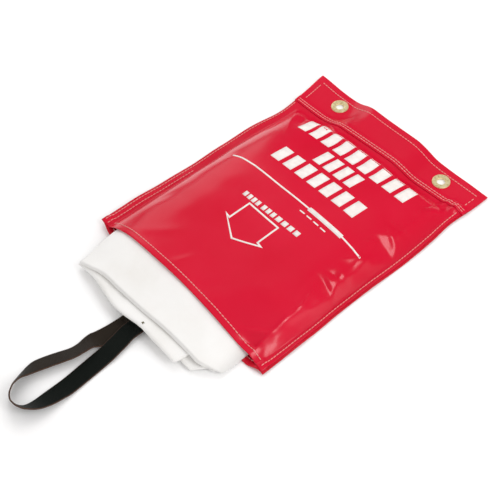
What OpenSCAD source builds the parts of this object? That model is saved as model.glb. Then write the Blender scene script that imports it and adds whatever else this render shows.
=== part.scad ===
// Hanging fire blanket: a sewn vinyl pouch lying on its back, with a folded fibreglass
// blanket part-way out of its open lower end and a webbing loop to pull it by.
// X runs across the pouch, +Y towards the hanging header, +Z away from the back panel.
// The origin is the centre of the footprint, on the surface the pouch lies on.

/* [Pouch] */
// Width over the side seams
pouch_w = 254; // [240:1:270]
// Length from the mouth to the top edge
pouch_l = 324; // [310:1:340]
// Thickness of the coated vinyl
vinyl_t = 0.8; // [0.6:0.1:1]
// Width of each sewn side seam
seam_w = 9.5; // [8:0.5:12]
// Depth of the turned hems at the mouth
hem_d = 8; // [6:0.5:10]
// Depth of the hanging header at its left end
header_left_d = 52; // [50:1:60]
// Depth of the header at its right end, where it is sewn a little crooked
header_right_d = 39; // [39:1:50]
// Height of the front panel's crown over the back panel
crown_h = 32; // [28:1:36]
// Place of the crown across the width
crown_x = -15; // [-25:1:0]

/* [Grommets] */
// Distance between the two grommet centres
grommet_spacing = 156; // [140:1:170]
// Distance of the grommet centres from the top edge
grommet_drop = 19.5; // [16:0.5:24]
// Clear hole through each grommet
grommet_hole_d = 9.5; // [8:0.5:11]
// Outside diameter of the grommet flange
grommet_od = 20; // [18:0.5:22]

/* [Blanket] */
// Width of the folded blanket
blanket_w = 202; // [190:1:206]
// How far the blanket's longest fold stands out of the mouth
pull_out = 58; // [50:1:62]
// Length of the folded stack
stack_l = 240; // [226:1:246]

/* [Strap] */
// Width of the webbing
strap_w = 20; // [18:0.5:22]
// Thickness of the webbing
strap_t = 1.6; // [1.2:0.1:1.8]
// Length of the loop beyond the blanket
loop_l = 134; // [120:1:150]
// Length of webbing sewn into the blanket
tail_l = 40; // [30:1:45]

/* [Thread] */
// Thickness of the sewing thread
thread_t = 0.5; // [0.4:0.1:0.6]
// Distance between the two rows under the header
row_gap = 3; // [2.5:0.5:4]

/* [Hidden] */

// Strap: the webbing's floor-side edge, as [x, distance out from the blanket, height], with the
// lean of the webbing's width above the floor and its heading in plan, both in degrees.
// The distances are for a loop of route_l and stretch with loop_l.
root_out = 60;
tail_z = 2.1;
root_gap = 0.4;
ply_gap = 0.2;
lower_ply_z = tail_z + strap_t / 2;
upper_ply_z = lower_ply_z + strap_t + ply_gap;
route_l = 140;
STRAP_ROUTE = [
    // lower leg, out from the blanket to the far end
    [-15, 0.5, lower_ply_z, 0, 0], [-16.5, 8, 1.9, 0, -2], [-19, 18, 0.9, 0, -4],
    [-22, 30, 0.9, 0, -4], [-23.5, 36, 0.9, 4, -5], [-23.2, 43, 0.9, 18, -6],
    [-22, 52, 0.9, 25, -8], [-23, 61, 0.9, 25, -12], [-27, 72, 0.9, 23, -18],
    [-31, 83, 0.9, 22, -23], [-34.6, 96, 0.9, 23, -28], [-34.5, 104, 0.9, 29, -33],
    [-32.3, 113, 0.9, 42, -38],
    // round the far end, with the webbing on its edge
    [-28.5, 126, 0.9, 52, -40], [-25.5, 131.5, 0.9, 52, -40], [-21.5, 136.5, 0.9, 52, -40],
    [-15, 140, 0.9, 52, -40], [-8, 139.5, 0.9, 52, -40], [-3, 136.5, 0.9, 52, -38],
    [0, 132, 0.9, 48, -28], [1.2, 123, 0.9, 30, -12],
    // upper leg, back to the blanket
    [1, 111, 0.9, 15, -5], [1, 99, 0.9, 8, -5], [0.7, 86, 0.9, 2, -6], [-1.5, 58, 0.9, 0, -3],
    [-2.7, 43, 1.6, 0, 1], [-3.4, 36, 2.4, 0, 3], [-5, 30, 2.9, 0, 4], [-8, 18, 3.1, 0, 4],
    [-10, 8, 4.2, 0, 2], [-10.5, 0.5, upper_ply_z, 0, 0]
];

// The mouth's place along Y centres the footprint on the origin.
strap_reach = root_out + loop_l / route_l * max([for (r = STRAP_ROUTE) r[1]]) +
    strap_w * cos(52) * sin(40) + 0.5;
mouth_y = strap_reach - (pouch_l + strap_reach) / 2;
top_y = mouth_y + pouch_l;
half_w = pouch_w / 2;
pocket_half_w = half_w - seam_w;
tail_gap = 0.1;

// Front panel: full height up to fade_start, then a slow fall that takes fade_share of it away,
// and a quick drop to the back panel over drop_d, short of the header.
// The right side is squashed at the mouth and fills out by settle_d.
fade_start = 150;
fade_gap = 3;
fade_power = 1.7;
fade_share = 0.72;
drop_d = 16;
settle_d = 80;
left_power = 4.4;
mouth_right_power = 2.3;
right_power = 7;
cells_x = 44;
cells_y = 20;
settle_cells = 4;
hem_side_gap = 3.5;

// Header facing: lies on the front panel's margin, then steps down onto the back panel.
margin_d = 8;
step_d = 3;
turn_r = 2 * vinyl_t;

// Grommets: a rolled front flange, a barrel and a washer pressed into the back panel.
barrel_t = 0.5;
flange_h = 1.3;
washer_t = 0.4;
grommet_y = top_y - grommet_drop;
layers_h = 2 * vinyl_t;

// Blanket: three folds with stepped front edges.
stack_clearance = 0.6;
stack_z = 2;
fold_z1 = 0.3;
fold_z2 = 0.62;
notch_d = 6;
lowest_fold_in = 14;
top_fold_left_in = 7;
top_fold_right_in = 22;
front_drop = 0.74;
inner_taper = 70;
inner_middle = 0.83;
inner_drop = 0.5;
stations_x = 24;

// The header's lower edge at a place across the width, as a distance from the mouth and as a y.
function header_low(x) =
    pouch_l - header_left_d + (header_left_d - header_right_d) * (x / pouch_w + 0.5);
function header_y(x) = mouth_y + header_low(x);

// Height of the pocket's inner surface over the back panel, before the fade.
function across(x, d = 0) =
    let (settled = max(0, min(1, (d - hem_d) / (settle_d - hem_d))),
         u = x < crown_x ? (crown_x - x) / (crown_x + pocket_half_w)
                         : (x - crown_x) / (pocket_half_w - crown_x),
         p = x < crown_x ? left_power : mouth_right_power + (right_power - mouth_right_power) * settled)
    u >= 1 ? 0 : crown_h * (1 - pow(u, p));
// Share of that height at a distance up the pouch from the mouth.
function along(x, d) =
    let (fade_end = header_low(x) - fade_gap,
         fall = max(0, (d - fade_start) / (fade_end - fade_start)),
         drop = max(0, min(1, (d - fade_end) / drop_d + 1)))
    (1 - fade_share * pow(min(1, fall), fade_power)) * (1 + cos(180 * drop)) / 2;
function pocket_z(x, d) = vinyl_t + across(x, d) * along(x, d);

// Places across the width: even steps over the pocket, with the seams outside them.
function panel_xs() = concat(
    [-half_w], [for (i = [0 : cells_x]) -pocket_half_w + 2 * pocket_half_w * i / cells_x], [half_w]);
// Places up the pouch: the hem, the settling right side, the fade, then the header's margin.
function panel_ds(x) = concat(
    [0], [for (i = [0 : settle_cells]) hem_d + (settle_d - hem_d) * i / settle_cells],
    [for (i = [0 : cells_y]) fade_start + (header_low(x) - fade_gap - fade_start) * i / cells_y],
    [header_low(x) + margin_d]);

// Closed solid between two height fields over a grid: for each of the columns xs, the places ys[i]
// along it, with the heights low[i] and high[i] there.
module slab(xs, ys, low, high) {
    nx = len(xs);
    ny = len(ys[0]);
    function at(i, j, k) = (k * nx + i) * ny + j;
    points = [for (field = [low, high]) for (i = [0 : nx - 1]) for (j = [0 : ny - 1])
        [xs[i], ys[i][j], field[i][j]]];
    bottom = [for (j = [0 : ny - 2]) for (i = [0 : nx - 2]) for (half = [0, 1])
        half == 0 ? [at(i, j, 0), at(i + 1, j, 0), at(i + 1, j + 1, 0)]
                  : [at(i, j, 0), at(i + 1, j + 1, 0), at(i, j + 1, 0)]];
    top = [for (j = [0 : ny - 2]) for (i = [0 : nx - 2]) for (half = [0, 1])
        half == 0 ? [at(i, j, 1), at(i + 1, j + 1, 1), at(i + 1, j, 1)]
                  : [at(i, j, 1), at(i, j + 1, 1), at(i + 1, j + 1, 1)]];
    ends = [for (i = [0 : nx - 2]) for (side = [0, 1]) for (half = [0, 1])
        let (j = side * (ny - 1), a = side == 0 ? i : i + 1, b = side == 0 ? i + 1 : i)
        half == 0 ? [at(a, j, 0), at(a, j, 1), at(b, j, 1)] : [at(a, j, 0), at(b, j, 1), at(b, j, 0)]];
    sides = [for (j = [0 : ny - 2]) for (side = [0, 1]) for (half = [0, 1])
        let (i = side * (nx - 1), a = side == 0 ? j + 1 : j, b = side == 0 ? j : j + 1)
        half == 0 ? [at(i, a, 0), at(i, a, 1), at(i, b, 1)] : [at(i, a, 0), at(i, b, 1), at(i, b, 0)]];
    polyhedron(points, concat(bottom, top, ends, sides));
}

// A strip that follows the pocket's curve at the mouth, from depth d0 to d1.
module mouth_strip(xs, d0, d1, z0, z1) {
    slab(xs, [for (x = xs) [mouth_y + d0, mouth_y + d1]],
         [for (x = xs) [for (j = [0, 1]) pocket_z(x, 0) + z0]],
         [for (x = xs) [for (j = [0, 1]) pocket_z(x, 0) + z1]]);
}

// Places across the mouth that the front hem and its stitching reach.
function hem_xs() = [for (x = panel_xs()) if (across(x) > 4.5) x];

module grommet_positions(side) {
    translate([side * grommet_spacing / 2, grommet_y, 0]) children();
}

module grommet_holes(d, z, h) {
    for (side = [-1, 1]) grommet_positions(side) translate([0, 0, z]) cylinder(d = d, h = h, $fn = 64);
}

module back_panel() {
    color("firebrick") difference() {
        translate([-half_w, mouth_y, 0]) cube([pouch_w, pouch_l - turn_r / 2, vinyl_t]);
        grommet_holes(grommet_hole_d + 2 * barrel_t, -1, 4);
        grommet_holes(grommet_od, -1, 1 + washer_t);
    }
}

module front_panel() {
    xs = panel_xs();
    color("crimson") slab(xs,
        [for (x = xs) [for (d = panel_ds(x)) mouth_y + d]],
        [for (x = xs) [for (d = panel_ds(x)) pocket_z(x, d)]],
        [for (x = xs) [for (d = panel_ds(x)) pocket_z(x, d) + vinyl_t]]);
}

// Outline of the header facing in the plane across X, with its lower edge at the place y.
function facing_outline(y) = [
    [y, 2 * vinyl_t], [y + margin_d, 2 * vinyl_t], [y + margin_d + step_d, vinyl_t],
    [top_y - turn_r / 2, vinyl_t], [top_y - turn_r / 2, 0], [top_y - turn_r / 4, 0],
    [top_y, vinyl_t / 2], [top_y, 1.5 * vinyl_t], [top_y - turn_r / 4, 2 * vinyl_t],
    [y + margin_d + step_d, 2 * vinyl_t], [y + margin_d, 3 * vinyl_t], [y, 3 * vinyl_t]];

module header_facing() {
    count = len(facing_outline(0));
    points = [for (x = [-half_w, half_w]) for (p = facing_outline(header_y(x))) [x, p[0], p[1]]];
    walls = [for (i = [0 : count - 1]) let (j = (i + 1) % count) [i, j, j + count, i + count]];
    caps = [[for (i = [count - 1 : -1 : 0]) i], [for (i = [0 : count - 1]) count + i]];
    color("crimson") difference() {
        polyhedron(points, concat(walls, caps));
        grommet_holes(grommet_hole_d + 2 * barrel_t, -1, 4);
    }
}

module front_mouth_hem() {
    color("firebrick") mouth_strip(hem_xs(), 0, hem_d, -vinyl_t, 0);
}

module back_mouth_hem() {
    hem_half_w = pocket_half_w - hem_side_gap;
    color("firebrick") translate([-hem_half_w, mouth_y, vinyl_t]) cube([2 * hem_half_w, hem_d, vinyl_t]);
}

// Barrel and rolled front flange, turned about the hole's axis.
module grommet(side) {
    hole_r = grommet_hole_d / 2;
    flange_r = grommet_od / 2;
    color("darkgoldenrod") grommet_positions(side) rotate_extrude($fn = 96) polygon(concat(
        [[hole_r, washer_t], [hole_r + barrel_t, washer_t], [hole_r + barrel_t, layers_h],
         [flange_r, layers_h]],
        [for (a = [0 : 20 : 180]) let (c = (hole_r + flange_r) / 2, w = (flange_r - hole_r) / 2)
            [c + w * cos(a), layers_h + 0.3 + (flange_h - 0.3) * sin(a)]]
    ));
}

module washer(side) {
    color("darkgoldenrod") grommet_positions(side) difference() {
        cylinder(d = grommet_od, h = washer_t, $fn = 64);
        translate([0, 0, -1]) cylinder(d = grommet_hole_d, h = 3, $fn = 64);
    }
}

// One straight row of thread lying on a surface at height z.
module thread_row(x0, y0, x1, y1, z) {
    hull() for (p = [[x0, y0], [x1, y1]])
        translate([p[0] - thread_t / 2, p[1] - thread_t / 2, z]) cube(thread_t);
}

module header_edge_stitch() {
    row_x = half_w - seam_w + 1;
    low_in = margin_d + step_d + 1;
    color("mistyrose") union() {
        thread_row(-row_x, top_y - hem_d, row_x, top_y - hem_d, layers_h);
        for (side = [-1, 1]) thread_row(side * row_x, header_y(side * row_x) + low_in,
                                        side * row_x, top_y - hem_d, layers_h);
    }
}

module header_lower_stitch(row) {
    row_x = half_w - 3;
    row_in = 3 + row * row_gap;
    color("mistyrose")
        thread_row(-row_x, header_y(-row_x) + row_in, row_x, header_y(row_x) + row_in, 3 * vinyl_t);
}

module side_stitch(side) {
    row_x = side * (half_w - seam_w / 2);
    color("mistyrose") thread_row(row_x, mouth_y + 3, row_x, header_y(row_x) - 2, 2 * vinyl_t);
}

module front_hem_stitch() {
    color("mistyrose") mouth_strip(hem_xs(), hem_d - 2, hem_d - 2 + thread_t, vinyl_t, vinyl_t + thread_t);
}

module back_hem_stitch() {
    row_x = pocket_half_w - 6;
    color("mistyrose") translate([-row_x, mouth_y + hem_d - 2, 2 * vinyl_t])
        cube([2 * row_x, thread_t, thread_t / 2]);
}

// Height of the stack's upper surface inside the pouch, just under the front hem.
function stack_top(x) = across(x) - stack_clearance;

// Outline of the stack in the plane across X, as [distance up from the mouth, height].
function stack_outline(x) =
    let (u = x / blanket_w + 0.5,
         h = stack_top(x) - stack_z,
         z1 = stack_z + fold_z1 * h,
         z2 = stack_z + fold_z2 * h,
         front = stack_z + h * front_drop,
         top_in = top_fold_left_in + (top_fold_right_in - top_fold_left_in) * u,
         second = -pull_out,
         inner = stack_l - pull_out)
    [[inner, stack_z], [second + lowest_fold_in, stack_z], [second + lowest_fold_in, z1 - 0.5],
     [second + lowest_fold_in + notch_d, z1], [second, z1 + 0.5], [second - 0.5, (z1 + z2) / 2],
     [second, z2 - 0.5], [second + top_in + notch_d, z2], [second + top_in, z2 + 0.5],
     [second + top_in, front - 1], [second + top_in + 2, front], [-8, stack_z + h * 0.97],
     [0, stack_z + h], [inner - inner_taper, stack_z + h],
     [inner - inner_taper / 2, stack_z + h * inner_middle], [inner, stack_z + h * inner_drop]];

module folded_blanket() {
    xs = [for (i = [0 : stations_x]) blanket_w * (i / stations_x - 0.5)];
    count = len(stack_outline(0));
    points = [for (x = xs) for (p = stack_outline(x)) [x, mouth_y + p[0], p[1]]];
    walls = [for (s = [0 : stations_x - 1]) for (i = [0 : count - 1]) for (half = [0, 1])
        let (a = s * count + i, b = s * count + (i + 1) % count)
        half == 0 ? [a, b, b + count] : [a, b + count, a + count]];
    caps = [[for (i = [count - 1 : -1 : 0]) i], [for (i = [0 : count - 1]) stations_x * count + i]];
    color("whitesmoke") difference() {
        polyhedron(points, concat(walls, caps));
        strap_tail_space(tail_gap, tail_gap);
    }
}

// Space of the two webbing ends, side margin and height margin added.
module strap_tail_space(side_gap, z_gap) {
    translate([-15 - side_gap, mouth_y - root_out - 4, tail_z - z_gap])
        cube([strap_w + 4.5 + 2 * side_gap, tail_l + 4, 2 * strap_t + 2 * z_gap]);
}

module strap_tails() {
    color("black") translate([0, mouth_y - root_out + root_gap, 0]) union() {
        translate([-15, 0, tail_z]) cube([strap_w, tail_l - root_gap, strap_t]);
        translate([-10.5, 0, tail_z + strap_t]) cube([strap_w, tail_l - root_gap, strap_t]);
    }
}

module strap_tack_stitch() {
    color("dimgray") translate([-6, mouth_y - root_out + 9, tail_z - thread_t / 2])
        cube([8, thread_t, thread_t / 2]);
}

// Webbing swept along STRAP_ROUTE: each ring is a rectangle across the webbing.
module pull_strap() {
    count = len(STRAP_ROUTE);
    function edge(i) = let (r = STRAP_ROUTE[i])
        [r[0], mouth_y - root_out - r[1] * loop_l / route_l, r[2]];
    function width_dir(i) = let (r = STRAP_ROUTE[i])
        [cos(r[3]) * cos(r[4]), cos(r[3]) * sin(r[4]), sin(r[3])];
    function travel(i) = edge(min(i + 1, count - 1)) - edge(max(i - 1, 0));
    function thick_dir(i) = let (n = cross(travel(i), width_dir(i))) n / norm(n);
    points = [for (i = [0 : count - 1])
        let (e = edge(i), w = strap_w * width_dir(i), n = strap_t / 2 * thick_dir(i))
        each [e - n, e + w - n, e + w + n, e + n]];
    walls = [for (i = [0 : count - 2]) for (k = [0 : 3]) for (half = [0, 1])
        let (a = 4 * i + k, b = 4 * i + (k + 1) % 4)
        half == 0 ? [a, b, b + 4] : [a, b + 4, a + 4]];
    caps = [[3, 2, 1, 0], [for (k = [0 : 3]) 4 * (count - 1) + k]];
    color("black") polyhedron(points, concat(walls, caps));
}

back_panel();
front_panel();
header_facing();
front_mouth_hem();
back_mouth_hem();
grommet(-1);  // left_grommet
washer(-1);  // left_washer
grommet(1);  // right_grommet
washer(1);  // right_washer
header_edge_stitch();
header_lower_stitch(0);  // header_lower_stitch_1
header_lower_stitch(1);  // header_lower_stitch_2
side_stitch(-1);  // left_side_stitch
side_stitch(1);  // right_side_stitch
front_hem_stitch();
back_hem_stitch();
folded_blanket();
strap_tails();
strap_tack_stitch();
pull_strap();
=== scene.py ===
import math

import bpy
import numpy as np
from mathutils import Matrix, Vector, noise


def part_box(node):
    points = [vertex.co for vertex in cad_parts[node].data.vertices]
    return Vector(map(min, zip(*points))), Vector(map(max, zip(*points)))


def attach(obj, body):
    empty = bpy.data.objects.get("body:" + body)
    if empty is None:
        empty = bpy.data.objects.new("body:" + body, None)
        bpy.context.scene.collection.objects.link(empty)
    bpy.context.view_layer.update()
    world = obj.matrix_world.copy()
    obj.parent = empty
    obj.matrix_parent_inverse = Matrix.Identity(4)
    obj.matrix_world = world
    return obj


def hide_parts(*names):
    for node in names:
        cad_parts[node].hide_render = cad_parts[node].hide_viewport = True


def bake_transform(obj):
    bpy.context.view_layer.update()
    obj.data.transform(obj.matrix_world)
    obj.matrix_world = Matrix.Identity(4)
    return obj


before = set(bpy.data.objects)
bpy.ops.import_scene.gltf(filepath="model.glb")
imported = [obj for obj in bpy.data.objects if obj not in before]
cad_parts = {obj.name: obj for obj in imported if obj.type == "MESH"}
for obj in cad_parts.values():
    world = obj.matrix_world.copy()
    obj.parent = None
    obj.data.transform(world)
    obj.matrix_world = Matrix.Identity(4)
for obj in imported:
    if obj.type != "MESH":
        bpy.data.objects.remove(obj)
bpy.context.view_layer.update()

# Looks of a hanging fire blanket: a sewn vinyl pouch, a folded glass-cloth blanket that stands
# out of its mouth, and a webbing loop. Lengths below are in millimetres, in the row frame, with
# d for a distance up the pouch from its mouth. Meshes are scaled to metres as they are made.

MM = 0.001


def cad_box(node):
    """Lowest and highest corner of a CAD node, in millimetres."""
    low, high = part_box(node)
    return np.array(low) / MM, np.array(high) / MM


# Pouch, from the frame
back_low, back_high = cad_box("back_panel")
facing_high = cad_box("header_facing")[1]
MOUTH_Y = back_low[1]
HALF_W = back_high[0]
VINYL = back_high[2]
POUCH_L = facing_high[1] - MOUTH_Y
# The header is deeper at its left end than at its right, and its facing overlaps the front panel
HEADER_LEFT = POUCH_L - 52
HEADER_RIGHT = POUCH_L - 39
MARGIN = 8
# The pocket inside the seams, which are wider on the left
POCKET_HALF_W = HALF_W - 9.5
POCKET_LEFT_W = HALF_W - 13
FRONT_EDGE_IN = 2.2
SKIN = 0.75
GROMMET_X = 78
GROMMET_D = POUCH_L - 19.5
BARREL_CLEAR = 7.2

# Bulge of the front panel
CROWN_H = 32
CROWN_X = -15
LEFT_POWER = 4.4
MOUTH_RIGHT_POWER = 2.3
RIGHT_POWER = 4
RIGHT_SHARE = 0.60
FADE_START = 150
FADE_GAP = 2.5
FADE_SHARE = 0.78
FADE_POWER = 1.7
DROP = 16
HEM = 8
# The right shoulder starts here, and its facets blend into it over this height
SHOULDER_X = CROWN_X + 60
FACET_BLEND = 2.2

# Blanket
BLANKET_HALF_W = cad_box("folded_blanket")[1][0]
STACK_FLOOR = 2.0
STACK_BACK = cad_box("folded_blanket")[1][1] - MOUTH_Y
CLOTH = 0.43
LAYERS = 6
STRIPS = 5
STRIP_T = 5.4
STRIP_TURN = STRIP_T * 0.85
FOLD_L = 1.6
# How much further in the blanket can slide: its back tapers as the pouch does there
STOWED_IN = 40

# Strap
STRAP_W = 20
STRAP_T = 1.5
ROOT_OUT = 60
ROUTE_SHARE = 134 / 140
TAIL_L = 40


# ---- small maths

def smooth(start, end, value):
    """0 before start, 1 after end, eased between them."""
    t = np.clip((value - start) / (end - start), 0, 1)
    return t * t * (3 - 2 * t)


def soft_min(a, b, width):
    """The smaller of a and b, rounded over width where they meet."""
    h = np.clip(0.5 + 0.5 * (b - a) / width, 0, 1)
    return b + (a - b) * h - width * h * (1 - h)


def hump(value, centre, width):
    return np.exp(-((value - centre) / width) ** 2)


def ripple(x, y, scale, seed):
    """Smooth noise from about -1 to 1 over features of the size scale."""
    x, y = np.broadcast_arrays(np.asarray(x, float), np.asarray(y, float))
    flat = [noise.noise((a / scale, b / scale, seed)) for a, b in zip(x.ravel(), y.ravel())]
    return 1.6 * np.array(flat).reshape(x.shape)


# ---- shape of the pouch

# Creases of the front panel: place x and d, heading in degrees from +X, half length, half width
# and height (negative for a dent).
CREASES = [
    # ridge up the right shoulder from the mouth corner, and the fold that joins it
    (105, 16, 90, 18, 2.6, 2.4),
    (105, 48, 91, 20, 2.8, 2.2),
    (102, 82, 102, 20, 3.0, 2.0),
    (93, 20, 46, 15, 2.4, 2.4),
    (99, 10, 30, 9, 5.0, -2.2),
    # folds across the right shoulder
    (112, 40, 80, 10, 2.2, 0.7),
    (106, 74, 55, 10, 2.6, 0.9),
    (108, 110, -20, 11, 2.2, 1.5),
    (101, 122, 30, 13, 4.0, -1.4),
    (109, 130, 8, 9, 2.8, 0.9),
    (96, 148, 60, 14, 3.0, 0.8),
    (106, 160, 80, 9, 2.6, 0.9),
    (90, 178, 70, 8, 2.4, -1.3),
    (106, 199, -25, 11, 2.2, 1.6),
    (99, 212, 15, 14, 5.0, -1.2),
    (110, 222, 75, 12, 2.6, 1.0),
    # pulled towards the right end of the header
    (108, 262, 62, 15, 3.6, 2.0),
    (97, 264, 72, 12, 3.2, -1.8),
    (117, 272, 75, 9, 3.0, -1.2),
    # pulled towards the left end of the header
    (-98, 246, 128, 20, 4.0, 2.0),
    (-86, 252, 122, 14, 4.0, -1.8),
    (-107, 234, 105, 18, 3.2, -1.2),
    # along the left shoulder
    (-96, 60, 70, 24, 6.0, -0.5),
    (-92, 150, 62, 22, 5.0, -0.4),
    # slack across the mouth
    (-12, 16, 70, 18, 6.0, 0.8),
    (34, 22, 60, 26, 9.0, -0.8),
    (-60, 24, 40, 30, 9.0, 0.7),
]


# Flat facets pressed into the right shoulder: place x and d, how far below the full shoulder,
# and the slopes across (down towards the seam), back towards the mouth and on towards the header.
FACETS = [
    (104, 108, 17.0, 0.62, 0.10, 0.50),
    (104, 188, 18.6, 0.88, 0.20, 0.34),
]


def faceted(z, x, d):
    """The pocket's height with the facets cut into its right shoulder."""
    for fx, fd, depth, across, low, high in FACETS:
        rise = np.where(d < fd, low * (fd - d), high * (d - fd))
        plane = CROWN_H - depth - across * (x - fx) + rise
        z = np.where(x > SHOULDER_X, soft_min(z, plane, FACET_BLEND), z)
    return z


def header_low(x):
    """Distance of the header's sewn lower edge from the mouth."""
    return HEADER_LEFT + (HEADER_RIGHT - HEADER_LEFT) * (x / (2 * HALF_W) + 0.5)


def mouth_height(x):
    """Height of the pocket over the back panel at the mouth."""
    left = np.clip((CROWN_X - x) / (CROWN_X + POCKET_LEFT_W), 0, 1) ** LEFT_POWER
    right = np.clip((x - CROWN_X) / (POCKET_HALF_W - CROWN_X), 0, 1) ** MOUTH_RIGHT_POWER
    return CROWN_H * (1 - np.where(x < CROWN_X, left, right))


def pocket_height(x, d):
    """Height of the pocket over the back panel, without creases."""
    settled = smooth(2, 60, d)
    left_power = LEFT_POWER + 0.4 * settled
    left = np.clip((CROWN_X - x) / (CROWN_X + POCKET_LEFT_W), 0, 1) ** left_power
    right_power = MOUTH_RIGHT_POWER + (RIGHT_POWER - MOUTH_RIGHT_POWER) * settled
    share = 1 + (RIGHT_SHARE - 1) * settled
    right = share * np.clip((x - CROWN_X) / (POCKET_HALF_W - CROWN_X), 0, 1) ** right_power
    top = CROWN_H * (1 - np.where(x < CROWN_X, left, right))
    right_wall = np.maximum(POCKET_HALF_W - x, 0) * (1.1 + 0.5 * settled)
    left_wall = np.maximum(POCKET_LEFT_W + x, 0) * 1.4
    walls = np.minimum(right_wall, left_wall)
    blended = soft_min(top, walls, 3.0)
    inward = smooth(0, 20, d)
    return np.maximum(top * (1 - inward) + blended * inward, 0)


def fade(x, d):
    """1 over the pocket, 0 where the panel meets the header."""
    end = header_low(x) - FADE_GAP
    up = np.clip((d - FADE_START) / (end - FADE_START), 0, 1)
    return (1 - FADE_SHARE * up ** FADE_POWER) * (1 - smooth(end - DROP, end, d))


def creases(x, d):
    """Height that the creases add to the front panel."""
    total = np.zeros(np.broadcast(x, d).shape)
    for cx, cd, heading, length, width, height in CREASES:
        c, s = math.cos(math.radians(heading)), math.sin(math.radians(heading))
        along = (x - cx) * c + (d - cd) * s
        across = (d - cd) * c - (x - cx) * s
        total += height * np.exp(-(along / length) ** 2) / (1 + (across / width) ** 2) ** 1.5
    return total


def puckers(x, d):
    """Small gathers where the panel is sewn under the header and into the side seams."""
    out = header_low(x) - d
    header = np.exp(-((out - 12) / 10) ** 2) * ripple(x, d * 0.25, 13, 3.1)
    side = POCKET_HALF_W - np.abs(x)
    seam = np.exp(-((side - 5) / 5) ** 2) * ripple(x * 0.3, d, 11, 7.7)
    return 1.3 * header + 0.8 * seam


def slack(x, d):
    """Soft waves of the filled panel, and the rumples of its right shoulder."""
    waves = 0.9 * ripple(x, d, 62, 1.3) + 0.35 * ripple(x, d, 24, 2.9)
    rumples = 1.5 * ripple(0.6 * x + 0.4 * d, d - 0.3 * x, 19, 5.2) + 0.5 * ripple(x, d, 9, 7.1)
    shoulder = hump(x, 102, 13) * smooth(60, 120, d) * (1 - 0.6 * smooth(205, 240, d))
    return waves + 0.9 * rumples * shoulder


def bulge(x, d):
    """Height of the front panel over the back one, with its right mouth corner gaping."""
    side = np.where(x < 0, POCKET_LEFT_W + x, POCKET_HALF_W - x)
    inside = smooth(0, 16, side) * smooth(0, 14, header_low(x) - d)
    detail = creases(x, d) + puckers(x, d) + slack(x, d)
    filled = faceted(pocket_height(x, d), x, d)
    gape = 1.9 * hump(x, 106, 8) * (1 - smooth(4, 30, d))
    return np.maximum(filled * fade(x, d) + detail * inside * smooth(-4, 10, d), 0) + gape


def near_grommet(x, d):
    """1 at the grommets, 0 away from them: the header is pressed flat there."""
    reach = np.hypot(np.abs(x) - GROMMET_X, d - GROMMET_D)
    return 1 - smooth(13, 42, reach)


def arch(x, d):
    """The seam under the header stands off the floor in the middle, pulled up by the filled pouch."""
    across = smooth(-84, -50, x) * (1 - smooth(22, 62, x))
    return 8.0 * smooth(-34, 0, d - header_low(x)) * across * (1 - near_grommet(x, d))


def lift(x, d):
    """Height of the back panel over the floor: the raised corners, the waves of the header and
    the crumple at its right end."""
    left = 6.5 * smooth(86, HALF_W, -x) * np.exp(-(d / 78) ** 2)
    right = 3.2 * hump(x, 119, 7) * np.exp(-(np.maximum(d, 0) / 34) ** 2)
    near_seam = smooth(104, HALF_W, np.abs(x)) * smooth(0, 60, d)
    edge = 0.9 * (1 + ripple(x * 0.02, d, 38, 5.5)) * near_seam
    free = smooth(0, 26, d - header_low(x)) * (1 - near_grommet(x, d))
    header = free * (0.9 + 0.9 * ripple(x, d * 0.5, 46, 8.2))
    left_top = 2.6 * smooth(92, HALF_W, -x) * smooth(POUCH_L - 34, POUCH_L, d)
    neck = 2.2 * smooth(70, 120, -x) * hump(d, header_low(x) - 4, 20)
    out = header_low(x) - d
    knot = (5.0 * hump(x, 115, 6) + 3.0 * hump(x + 0.3 * out, 104, 4)) * hump(out, 0, 9)
    return left + right + edge + header + left_top + neck + knot + arch(x, d)


def plan_x(x, d):
    """Where a point at x lies once the sides have pulled in towards the header."""
    waist = 257
    narrowest = np.where(d < waist, hump(d, waist, 38), hump(d, waist, 44))
    pinch_left = 9.0 * narrowest + 1.5 * hump(d, 150, 60)
    pinch_right = 2.4 * hump(d, 268, 22) + 1.3 * hump(d, 118, 40) - 0.8 * hump(d, 205, 30)
    share = np.clip(np.abs(x) / HALF_W, 0, 1) ** 4
    return x + np.where(x < 0, pinch_left, -pinch_right) * share


def plan_d(x, d):
    """The mouth's edge isn't cut quite straight."""
    return d + (0.9 * ripple(x, 0 * x, 70, 4.4)) * (1 - smooth(0, 40, d))


def placed(x, d, z):
    """Points at height z over places (x, d) of the flat pouch."""
    return np.stack([plan_x(x, d), MOUTH_Y + plan_d(x, d), z], axis=-1)


def hem_extra(d):
    """At the seams, the turned hems put two more layers between the panels."""
    return 2 * VINYL * (1 - smooth(HEM, HEM + 5, d))


def front_z(x, d):
    raised = np.maximum(bulge(x, d), hem_extra(d))
    return 1.5 * VINYL + lift(x, d) + raised


def back_z(x, d):
    return 0.5 * VINYL + lift(x, d)


def facing_z(x, d):
    over_margin = 1 - smooth(MARGIN, MARGIN + 3.5, d - header_low(x))
    curl = 0.2 * (1 - smooth(0, 3, d - header_low(x))) * (0.6 + 0.5 * ripple(x, 0 * x, 19, 6.6))
    return 1.5 * VINYL + lift(x, d) + VINYL * over_margin + curl


def front_surface(x, d):
    """The front panel, drawn back a little where its hem gapes at the right mouth corner."""
    drawn = 1.8 * hump(x, 108, 13) * (1 - smooth(0, 30, d))
    return placed(x, d + drawn, front_z(x, d))


def back_surface(x, d):
    """The back panel's mouth edge stands out past the front one, which the bulge has drawn back."""
    ahead = 4.4 * (1 - smooth(106, 126, np.abs(x))) * (1 - smooth(0, 60, d))
    return placed(x, d - ahead, back_z(x, d))


def facing_surface(x, d):
    return placed(x, d, facing_z(x, d))


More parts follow.
